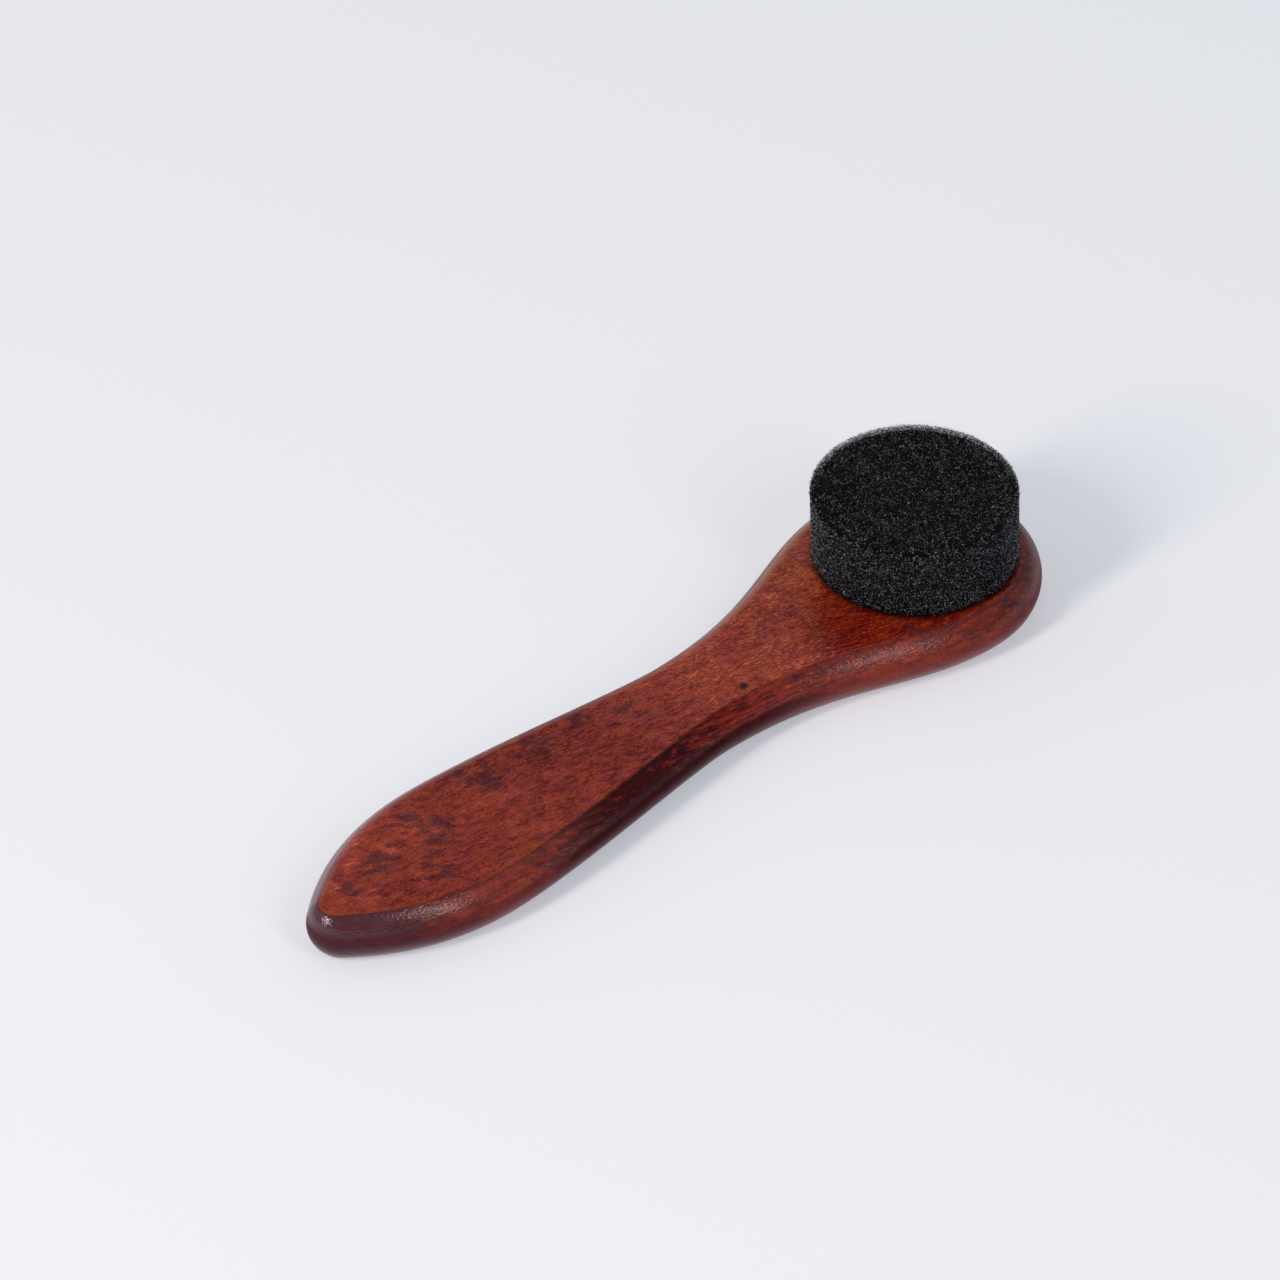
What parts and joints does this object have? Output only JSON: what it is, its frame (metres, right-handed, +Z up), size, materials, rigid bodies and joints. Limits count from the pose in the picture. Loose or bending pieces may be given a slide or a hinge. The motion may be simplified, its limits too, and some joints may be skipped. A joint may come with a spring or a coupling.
{
  "type": "shoe polish applicator brush",
  "caption": "Wooden-handled polish applicator: a flat paddle-shaped hardwood handle with a rounded edge and a round black foam pad glued to its head.",
  "frame": {"origin": "on the surface that the handle's flat underside lies on, under the middle of the brush's length", "axes": "+X along the handle towards the head's front edge, +Y across the handle, +Z up from the underside towards the pad"},
  "size_m": [0.16, 0.044, 0.024],
  "materials": {
    "lacquered_wood": "red-brown stain under a thin clear lacquer",
    "foam": "black open-cell foam, matt",
    "glue": "dried contact glue"
  },
  "bodies": {
    "root": {"handle": "lacquered_wood", "foam_pad": "foam", "glue_film": "glue"}
  },
  "joints": []
}
